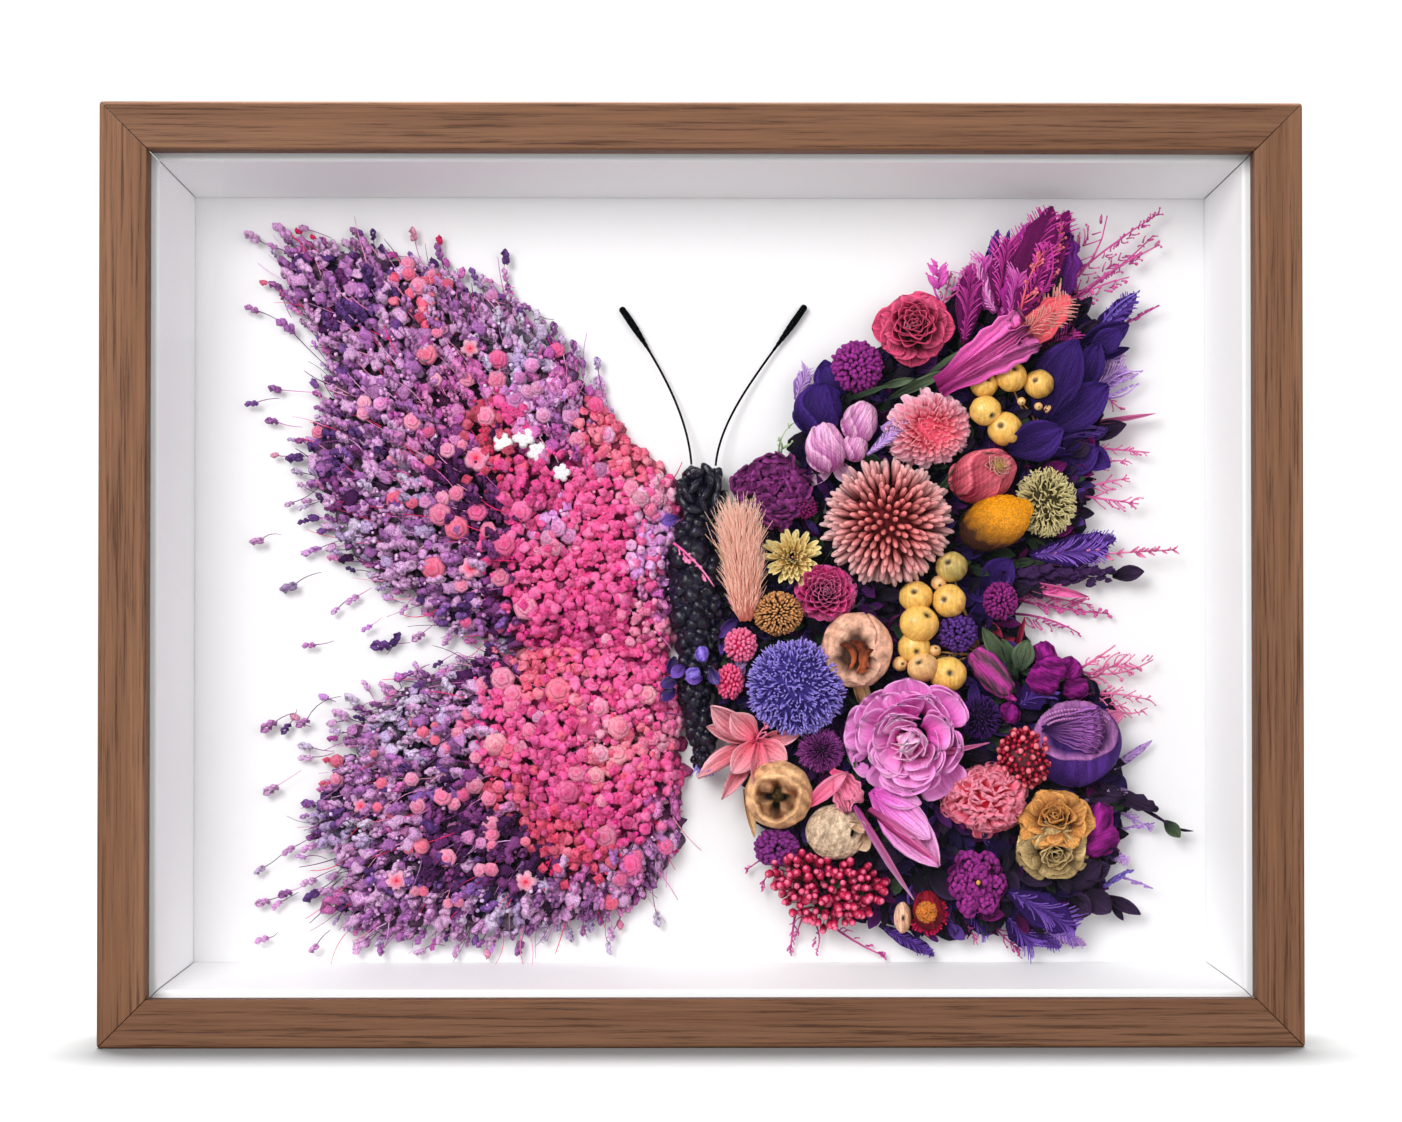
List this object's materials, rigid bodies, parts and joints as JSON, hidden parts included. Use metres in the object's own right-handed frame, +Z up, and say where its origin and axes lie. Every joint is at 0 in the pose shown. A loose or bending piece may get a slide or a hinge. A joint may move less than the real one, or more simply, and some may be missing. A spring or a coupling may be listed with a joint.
{
  "type": "pressed flower frame",
  "caption": "Deep wooden box frame with a glass front and a white sloping liner, holding a butterfly laid out in dried flowers; stands on its lower edge.",
  "frame": {"origin": "centre of the bottom of the bounding box, on the surface that the frame stands on", "axes": "+X to the viewer's right, +Z up, -Y is the side that the flowers face"},
  "size_m": [0.4, 0.0594, 0.314],
  "materials": {
    "oak": "walnut-stained oak, open grain, satin",
    "liner_paint": "smooth white paint",
    "pane": "clear, polished",
    "panel": "matte white board",
    "hardboard": "brown hardboard, matte",
    "steel": "zinc plated",
    "black_petals": "near-black dried petals, slight gloss",
    "black_wire": "black, satin",
    "florets": "dried florets from dusky lavender to hot pink",
    "dark_leaves": "dark violet dried leaves",
    "rose_petals": "dried petals",
    "pink_petals": "dried petals",
    "orchid_petals": "dried petals",
    "violet_petals": "dried petals",
    "yellow_petals": "dried papery petals",
    "magenta_petals": "dried petals",
    "purple_petals": "dried petals",
    "tan_petals": "dried petals",
    "tan_pod": "papery pod",
    "brown_pod": "woody pod",
    "bud": "leathery dried bud",
    "orange_pod": "pebbled, slight gloss",
    "olive": "dried seed head",
    "thistle": "dried thistle head",
    "peach_hair": "soft grass head",
    "blue_petals": "dense petal ball",
    "hot_pink": "dense floret ball",
    "crimson_berries": "small glossy berries",
    "yellow_berries": "waxy dried berries"
  },
  "bodies": {
    "root": {"antenna_left": "black_wire", "antenna_right": "black_wire", "aster": "purple_petals", "backing_board": "hardboard", "blue_pompon": "blue_petals", "body": "black_petals", "bunny_tail": "peach_hair", "carnation": "pink_petals", "crimson_berries": "crimson_berries", "dahlia": "pink_petals", "deep_purple_ball": "purple_petals", "dried_rose": "tan_petals", "glass_pane": "pane", "globe_amaranth": "purple_petals", "globe_thistle": "thistle", "half_open_bud": "bud", "head": "black_petals", "hydrangea": "purple_petals", "lily": "pink_petals", "liner_bottom": "liner_paint", "liner_left": "liner_paint", "liner_right": "liner_paint", "liner_top": "liner_paint", "lower_berry_sprig": "yellow_berries", "lower_left_wing": "florets", "lower_right_bed": "dark_leaves", "magenta_globe": "purple_petals", "mount_board": "panel", "olive_spiky_ball": "olive", "open_pod": "tan_pod", "orange_bud": "bud", "orange_pod": "orange_pod", "orchid_leaf": "orchid_petals", "orchid_tulip": "orchid_petals", "peony": "orchid_petals", "pepper_berries": "crimson_berries", "pink_globe_lower": "hot_pink", "pink_globe_upper": "hot_pink", "plume_flower": "magenta_petals", "poppy_pod": "brown_pod", "purple_ball": "purple_petals", "rail_bottom": "oak", "rail_left": "oak", "rail_right": "oak", "rail_top": "oak", "ranunculus": "magenta_petals", "ribbed_leaf_pod": "magenta_petals", "rose": "rose_petals", "sawtooth_hanger": "steel", "statice_cluster": "purple_petals", "strawflower": "yellow_petals", "tan_ball": "brown_pod", "tan_pod": "tan_pod", "upper_berry_sprig": "yellow_berries", "upper_left_wing": "florets", "upper_right_bed": "dark_leaves", "violet_globe": "violet_petals", "violet_petals": "violet_petals", "violet_tulip": "violet_petals"}
  },
  "joints": []
}
